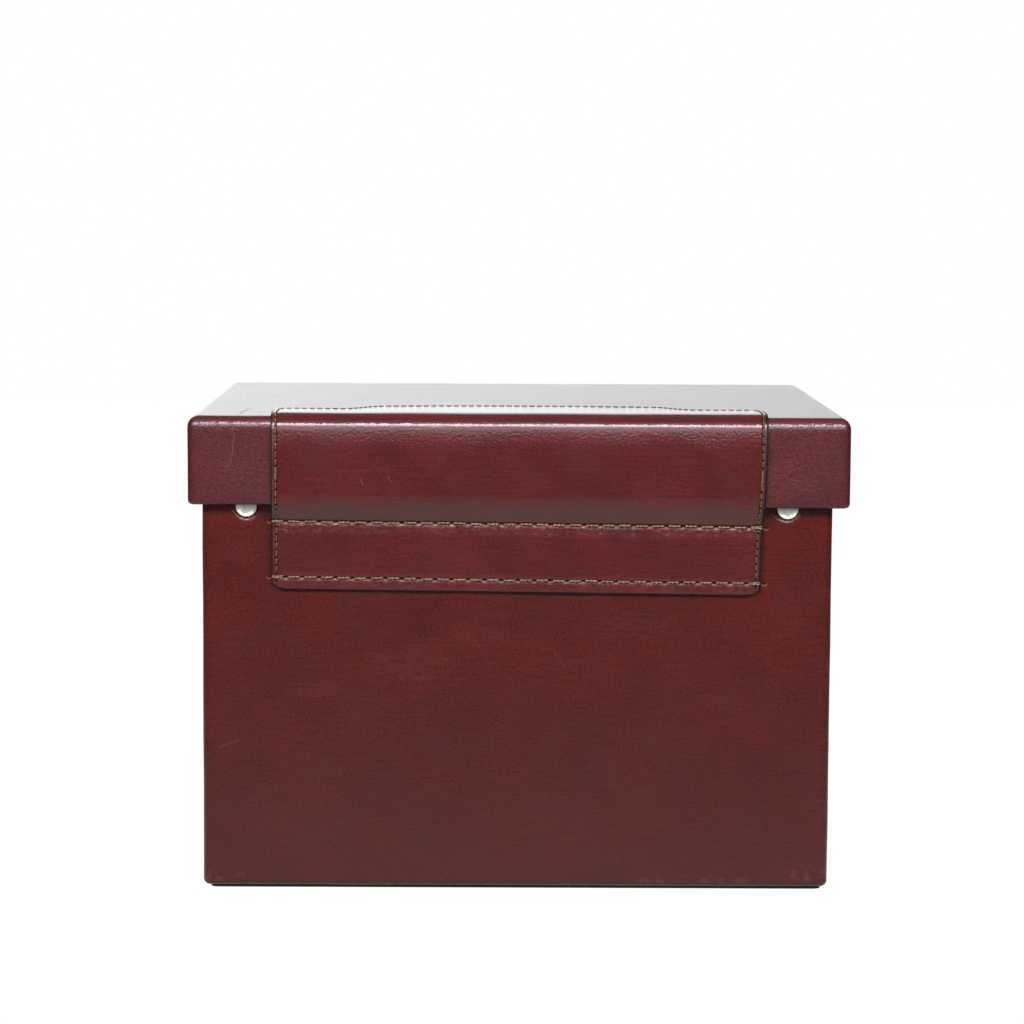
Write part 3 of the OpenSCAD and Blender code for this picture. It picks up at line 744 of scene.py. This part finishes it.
def panel_stitching(tree, place):
    """Where the leather is pierced, where its raw fibre shows, and where it puckers by the threads"""
    x, run = add(tree, "SeparateXYZ", (place,)).node.outputs[:2]
    side = add(tree, "Math", (x,), operation="ABSOLUTE")
    jitter = add(tree, "TexNoise", {"Vector": place, "Scale": 1 / 0.009, "Detail": 0})
    from_hole = add(tree, "Math", (x, hand_pitch / 2, -hand_pitch / 2), operation="WRAP")
    on_panel = add(tree, "MapRange", (side, half_w - 1.5 * mm, half_w - 2.5 * mm))
    hand_holes, fibre = 0, 0
    for row, rise, tall in ((upper_row, 0.35 * mm, 0.55 * mm), (lower_row, 0.1 * mm, 0.65 * mm)):
        least, most = -row - rise - 0.3 * mm, -row - rise + 0.3 * mm
        wander = add(tree, "MapRange", (jitter, 0.2, 0.8, least, most))
        above = add(tree, "Math", (run, wander), operation="ADD")
        hole = oval(tree, from_hole, above, 1.3 * mm, tall, 0.25)
        hand_holes = add(tree, "Math", (hole, hand_holes), operation="MAXIMUM")
        above = add(tree, "Math", (above, tall + 0.35 * mm), operation="ADD")
        torn = oval(tree, from_hole, above, 0.9 * mm, 0.35 * mm, 0.5)
        fibre = add(tree, "Math", (torn, fibre), operation="MAXIMUM")
    off_side = add(tree, "Math", (side, seam_x), operation="SUBTRACT")
    from_foot = add(tree, "Math", (run, seam_foot), operation="SUBTRACT")
    off_stitch = add(tree, "Math", (from_foot, side_pitch / 2, -side_pitch / 2), operation="WRAP")
    below_end = add(tree, "MapRange", (run, side_end + mm, side_end))
    side_needle = oval(tree, off_side, off_stitch, needle_r, needle_r)
    side_needle = add(tree, "Math", (side_needle, below_end), operation="MULTIPLY")
    edge_place = add(tree, "UVMap", uv_map="along_far_edge")
    edge_place = add(tree, "VectorMath", {0: edge_place, "Scale": uv_unit}, operation="SCALE")
    along, inset = add(tree, "SeparateXYZ", (edge_place,)).node.outputs[:2]
    along = add(tree, "Math", (along, seam_pitch / 2, -seam_pitch / 2), operation="WRAP")
    inset = add(tree, "Math", (inset, seam_inset), operation="SUBTRACT")
    inner = add(tree, "MapRange", (off_side, -seam_corner, -seam_corner - mm))
    far_needle = oval(tree, along, inset, needle_r, needle_r)
    far_needle = add(tree, "Math", (far_needle, inner), operation="MULTIPLY")
    needles = add(tree, "Math", (side_needle, far_needle), operation="MAXIMUM")
    hand_holes = add(tree, "Math", (hand_holes, on_panel), operation="MULTIPLY")
    holes = add(tree, "Math", (hand_holes, needles), operation="MAXIMUM")
    fibre = add(tree, "Math", (fibre, on_panel), operation="MULTIPLY")
    zone = 0
    bands = (upper_row - 6.5 * mm, upper_row - 0.8 * mm, 1), (0, lower_row + 3 * mm, 0.9)
    for low, high, strength in bands:
        middle = add(tree, "Math", (run, (low + high) / 2), operation="SUBTRACT")
        middle = add(tree, "Math", (middle,), operation="ABSOLUTE")
        band = add(tree, "MapRange", (middle, (high - low) / 2, (high - low) / 4, 0, strength))
        zone = add(tree, "Math", (band, zone), operation="MAXIMUM")
    outside = add(tree, "MapRange", (off_side, -0.5 * mm, 0.4 * mm, 0, 0.7))
    zone = add(tree, "Math", (zone, outside), operation="MAXIMUM")
    across = add(tree, "Mapping", {"Vector": place, "Scale": (0.55, 1, 1)}, vector_type="POINT")
    creases = add(
        tree, "TexNoise", {"Vector": across, "Scale": 1 / 0.0014, "Detail": 3, "Distortion": 1}
    )
    creases = add(tree, "MapRange", (creases, 0.4, 0.66))
    patchy = add(tree, "MapRange", (jitter, 0.35, 0.6, 0.3, 1))
    creases = add(tree, "Math", (creases, patchy), operation="MULTIPLY")
    return holes, fibre, add(tree, "Math", (zone, creases), operation="MULTIPLY")


panel_leather = leather(
    "waxed_calf_leather_panel", ("501212", "7e1b1b"), 0.31, 0.65, 0.12, 0.6,
    scratches=[((-78, 60, 0), (-76.8, 57.5, 0), 1.2), ((-64.5, 61.5, 0), (-62.4, 58, 0), 1.2)],
    stitching=panel_stitching,
)
# The black edge paint, laid wider on the right side and the foot as painted shade.
edge_paint_and_shade, tree, shader = new_material("black_edge_paint")
place = add(tree, "TexCoord", out="Object")
layers = add(tree, "TexNoise", {"Vector": place, "Scale": 1 / 0.003, "Detail": 2})
colour = add(tree, "Mix", {0: layers, 6: "080505", 7: "150c0d"}, 2, data_type="RGBA")
tree.links.new(colour, shader.inputs["Base Color"])
tree.links.new(add(tree, "MapRange", (layers, 0.3, 0.7, 0.45, 0.6)), shader.inputs["Roughness"])
shader.inputs["Specular IOR Level"].default_value = 0.25
mesh.materials.append(panel_leather)
mesh.materials.append(edge_paint_and_shade)
layout = mesh.uv_layers["flat_leather"].data
# The black band is the edge paint. At the right side and the foot it is drawn wider, adding painted
# shade beside the edge.
painted_left, edge_paint_and_shade_right, edge_paint_and_shade_foot = 0.4 * mm, 1.2 * mm, 0.8 * mm
for face in mesh.polygons:
    corners = [layout[i].uv * uv_unit for i in face.loop_indices]
    x, run = sum(corners, Vector((0, 0))) / len(corners)
    at_side = half_w - abs(x) < (painted_left if x < 0 else edge_paint_and_shade_right)
    at_foot = run - corner_drop(x, foot_corner) < edge_paint_and_shade_foot
    at_end = far_run(x) - corner_drop(x, far_corner) - run < painted_left
    face.material_index = 1 if at_side or at_foot or at_end else 0
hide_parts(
    "hinge_body_leaf", "hinge_body_backing", "hinge_fold", "hinge_fold_backing",
    "hinge_lid_leaf", "hinge_lid_backing",
)
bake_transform(panel)


# The hand stitches: waxed linen thread of two plies, khaki, sewn with an awl in two coarse rows
# through the panel, the cover and the board. Each row's last stitch goes over the panel's edge twice.
def thread_material(name, light, dark, strand):
    """Waxed thread: its colour varies along it over about a strand's width"""
    made, tree, shader = new_material(name)
    place = add(tree, "TexCoord", out="Object")
    fibre = add(tree, "TexNoise", {"Vector": place, "Scale": 1 / strand, "Detail": 3})
    share = add(tree, "MapRange", (fibre, 0.35, 0.65))
    colour = add(tree, "Mix", {0: share, 6: light, 7: dark}, 2, data_type="RGBA")
    bump = add(tree, "Bump", {"Strength": 0.3, "Distance": 0.1 * mm, "Height": fibre})
    tree.links.new(colour, shader.inputs["Base Color"])
    tree.links.new(bump, shader.inputs["Normal"])
    shader.inputs["Roughness"].default_value = 0.6
    return made


def one_stitch(length, radius, plies, turns, arch, dips):
    """A stitch of twisted plies along X on the flat leather, with its ends dipping into their holes"""
    steps = 14
    bpy.ops.object.select_all(action="DESELECT")
    offset = 0.75 * radius if plies > 1 else 0
    bpy.ops.mesh.primitive_cylinder_add(
        vertices=6, radius=radius, depth=length, location=(0, offset, 0), rotation=(0, pi / 2, 0)
    )
    stitch = bpy.context.object
    bpy.ops.object.transform_apply(location=True, rotation=True, scale=True)
    bpy.ops.object.mode_set(mode="EDIT")
    for i in range(1, steps):
        bpy.ops.mesh.select_all(action="SELECT")
        bpy.ops.mesh.bisect(plane_co=(length * (i / steps - 0.5), 0, 0), plane_no=(1, 0, 0))
    if plies > 1:
        bpy.ops.mesh.select_all(action="SELECT")
        bpy.ops.mesh.duplicate()
        bpy.ops.transform.rotate(value=pi, orient_axis="X", center_override=(0, 0, 0))
    bpy.ops.object.mode_set(mode="OBJECT")
    for v in stitch.data.vertices:
        along = 2 * v.co.x / length
        twist = Matrix.Rotation(pi * turns * along, 3, "X")
        v.co = twist @ v.co
        dip = dips[0] if along < 0 else dips[1]
        v.co.z += arch * (1 - along**4) - dip * along**8
    return stitch


def sew(name, stitches, material):
    """Copies each stitch to its place and turn on the flat leather and lays them over the box"""
    bpy.ops.object.select_all(action="DESELECT")
    for stitch, x, run, angle in stitches:
        copy = bpy.data.objects.new(name, stitch.data.copy())
        bpy.context.collection.objects.link(copy)
        copy.matrix_world = Matrix.Translation((x, run, panel_t)) @ Matrix.Rotation(angle, 4, "Z")
        copy.select_set(True)
    bpy.context.view_layer.objects.active = copy
    bpy.ops.object.join()
    piece = bpy.context.object
    bpy.ops.object.transform_apply(location=True, rotation=True, scale=True)
    piece.name = name
    for v in piece.data.vertices:
        v.co = hinge_point(*v.co)
    piece.data.materials.append(material)
    smooth_by_angle(piece, 60)
    for stitch in {entry[0] for entry in stitches}:
        bpy.data.objects.remove(stitch)
    return piece


hand_thread = thread_material("waxed_linen_thread", "c8aa82", "866f50", 0.9 * mm)
draws = random.Random(7)
strand_r = 0.25 * mm
hand_len = hand_pitch - 2 * mm
for row_name, row in (("upper_hand_stitches", upper_row), ("lower_hand_stitches", lower_row)):
    plain = one_stitch(hand_len, strand_r, 2, 1.5, 0.4 * mm, (0.9 * mm, 0.9 * mm))
    left_end = one_stitch(hand_len, strand_r, 2, 1.5, 0.8 * mm, (3 * mm, 0.9 * mm))
    right_end = one_stitch(hand_len, strand_r, 2, 1.5, 0.8 * mm, (0.9 * mm, 3 * mm))
    stitches = []
    for i in range(hand_count):
        x = (i + 0.5 - hand_count / 2) * hand_pitch
        run = row + draws.uniform(-0.2, 0.2) * mm
        tilt = draws.uniform(-0.03, 0.03)
        if 0 < i < hand_count - 1:
            stitches.append((plain, x, run, tilt))
            continue
        for lift in (-0.35 * mm, 0.35 * mm):
            stitches.append((left_end if i == 0 else right_end, x, row + lift, tilt + lift / hand_len))
    piece = sew(row_name.replace("stitches", "thread"), stitches, hand_thread)
    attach(piece, "box_body")
    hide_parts(row_name)

# The machine seam: fine twisted polyester in short even stitches along the panel's sides and its
# far edge, back-tacked on both sides of the lid's wall.
seam_thread = thread_material("polyester_seam_thread", "9a8450", "5e4e2c", 0.5 * mm)
seam_len, seam_r = 3.1 * mm, 0.27 * mm
plain = one_stitch(seam_len, seam_r, 1, 0, 0.1 * mm, (0.4 * mm, 0.4 * mm))
tack = one_stitch(2.4 * mm, seam_r * 1.7, 1, 0, 0.15 * mm, (0.4 * mm, 0.4 * mm))
stitches = []
corner_x = seam_x - seam_corner / 2
for side in (-1, 1):
    for i in range(side_count):
        run = seam_foot + (i + 0.5) * side_pitch
        if min(abs(run - lower_row), abs(run - upper_row)) > 0.9 * mm:
            stitches.append((plain, side * seam_x, run, pi / 2 + side * 0.09))
    for offset in (-2.2, -0.7, 0.8, 2.2):
        stitches.append((tack, side * seam_x, tack_runs[side] + offset * mm, pi / 2 - side * 0.25))
    stitches.append((plain, side * corner_x, side_end + seam_corner * 0.55, -side * pi / 4))
next_stitch = seam_pitch / 2
for x, length in zip(edge_x, edge_length):
    if length >= next_stitch:
        stitches.append((plain, x, far_run(x) - seam_inset, atan(edge_slope(x))))
        next_stitch += seam_pitch
seam = sew("machine_seam_thread", stitches, seam_thread)
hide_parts("body_seam", "fold_seam", "lid_seam")
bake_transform(seam)

# The rivets: nickel-plated brass caps, turned with a raised rim and a shallow dish, their posts
# set through cover and board. Rubbing has dulled the plate and left fine lines.
nickel, tree, shader = new_material("dull_nickel_plate")
place = add(tree, "TexCoord", out="Object")
haze = add(tree, "TexNoise", {"Vector": place, "Scale": 1 / 0.004, "Detail": 3})
brushed = add(tree, "Mapping", {"Vector": place, "Scale": (1, 1, 0.1), "Rotation": (0, 0.6, 0)})
lines = add(tree, "TexNoise", {"Vector": brushed, "Scale": 1 / 0.0004, "Detail": 1})
tarnish = add(tree, "MapRange", (haze, 0.4, 0.65))
colour = add(tree, "Mix", {0: tarnish, 6: "e2dfcb", 7: "b4bdb2"}, 2, data_type="RGBA")
bump = add(tree, "Bump", {"Strength": 0.12, "Distance": 0.05 * mm, "Height": lines})
tree.links.new(colour, shader.inputs["Base Color"])
tree.links.new(add(tree, "MapRange", (haze, 0.3, 0.7, 0.42, 0.55)), shader.inputs["Roughness"])
tree.links.new(bump, shader.inputs["Normal"])
shader.inputs["Metallic"].default_value = 1

cap_t, post_r, post_len = 0.9 * mm, 1.5 * mm, 4 * mm
rim_steps = [
    (0.15, 0.3), (0.25, 0.13), (0.3, -0.03), (0.25, -0.12), (0.3, -0.1), (0.9, -0.02), (1.6, 0.02),
]
bpy.ops.object.select_all(action="DESELECT")
bpy.ops.mesh.primitive_cylinder_add(vertices=48, radius=cap_r, depth=cap_t, rotation=(pi / 2, 0, 0))
cap = bpy.context.object
bpy.ops.object.transform_apply(location=True, rotation=True, scale=True)
select_faces(cap.data, lambda c, n: n.y < -0.9)
for inward, rise in rim_steps:
    bpy.ops.mesh.inset(thickness=inward * mm, depth=rise * mm)
select_faces(cap.data, lambda c, n: n.y > 0.9)
bpy.ops.mesh.inset(thickness=cap_r - post_r, depth=0)
bpy.ops.mesh.extrude_region_move(TRANSFORM_OT_translate={"value": (0, post_len, 0)})
bpy.ops.object.mode_set(mode="OBJECT")
smooth_by_angle(cap, 50)
cap.data.materials.append(nickel)
for name, centre in zip(("left_rivet_cap", "right_rivet_cap"), rivet_centres):
    piece = bpy.data.objects.new(name, cap.data.copy())
    bpy.context.collection.objects.link(piece)
    piece.data.transform(Matrix.Translation((centre.x, wall_y - cap_t / 2, centre.z)))
    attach(piece, "box_body")
    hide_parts("rivet_caps")
bpy.data.objects.remove(cap)


def dress(node, material):
    """Gives a carried-over piece its material"""
    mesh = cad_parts[node].data
    mesh.materials.clear()
    mesh.materials.append(material)


dress("rivet_backs", nickel)

# The lining: tan pigskin suede, with a short nap that lies in soft patches.
suede, tree, shader = new_material("tan_suede_lining")
place = add(tree, "TexCoord", out="Object")
nap = add(tree, "TexNoise", {"Vector": place, "Scale": 1 / 0.022, "Detail": 4, "Distortion": 0.6})
fibre = add(tree, "TexNoise", {"Vector": place, "Scale": 1 / 0.0006, "Detail": 2})
share = add(tree, "MapRange", (nap, 0.35, 0.65))
colour = add(tree, "Mix", {0: share, 6: "a58058", 7: "8b6844"}, 2, data_type="RGBA")
share = add(tree, "Math", (fibre, 0.35), operation="MULTIPLY")
colour = add(tree, "Mix", {0: share, 6: colour, 7: "6f5234"}, 2, data_type="RGBA")
bump = add(tree, "Bump", {"Strength": 0.25, "Distance": 0.2 * mm, "Height": fibre})
tree.links.new(colour, shader.inputs["Base Color"])
tree.links.new(bump, shader.inputs["Normal"])
shader.inputs["Roughness"].default_value = 0.9
shader.inputs["Sheen Weight"].default_value = 0.3
shader.inputs["Sheen Roughness"].default_value = 0.4
for node in ("body_wall_lining", "body_floor_lining", "lid_wall_lining", "lid_top_lining"):
    dress(node, suede)

# The boards: grey millboard, pressed from paper pulp, with fibres and specks.
board, tree, shader = new_material("grey_millboard")
place = add(tree, "TexCoord", out="Object")
pulp = add(tree, "TexNoise", {"Vector": place, "Scale": 1 / 0.006, "Detail": 5})
speck = add(tree, "TexNoise", {"Vector": place, "Scale": 1 / 0.0008, "Detail": 1})
colour = add(tree, "Mix", {0: pulp, 6: "8d877b", 7: "a59e90"}, 2, data_type="RGBA")
share = add(tree, "MapRange", (speck, 0.66, 0.74))
colour = add(tree, "Mix", {0: share, 6: colour, 7: "5f594e"}, 2, data_type="RGBA")
bump = add(tree, "Bump", {"Strength": 0.2, "Distance": 0.1 * mm, "Height": pulp})
tree.links.new(colour, shader.inputs["Base Color"])
tree.links.new(bump, shader.inputs["Normal"])
shader.inputs["Roughness"].default_value = 0.85
for node in (
    "base_infill", "floor_board", "hinge_wall_board", "front_wall_board", "left_wall_board",
    "right_wall_board", "lid_top_board", "lid_hinge_board", "lid_front_board", "lid_left_board",
    "lid_right_board",
):
    dress(node, board)

# The base panel: board covered with black bookcloth, whose weave is about 0.5 mm.
bookcloth, tree, shader = new_material("black_bookcloth")
place = add(tree, "TexCoord", out="Object")
thread_scale = pi / 10 / (0.5 * mm)
waves = {"Vector": place, "Scale": thread_scale, "Distortion": 0.6}
warp, weft = (add(tree, "TexWave", waves, "Fac", bands_direction=way) for way in "XY")
weave = add(tree, "Math", (warp, weft), operation="MULTIPLY")
colour = add(tree, "Mix", {0: weave, 6: "0c0b0b", 7: "1d1b1b"}, 2, data_type="RGBA")
bump = add(tree, "Bump", {"Strength": 0.3, "Distance": 0.1 * mm, "Height": weave})
tree.links.new(colour, shader.inputs["Base Color"])
tree.links.new(bump, shader.inputs["Normal"])
shader.inputs["Roughness"].default_value = 0.7
dress("base_panel", bookcloth)
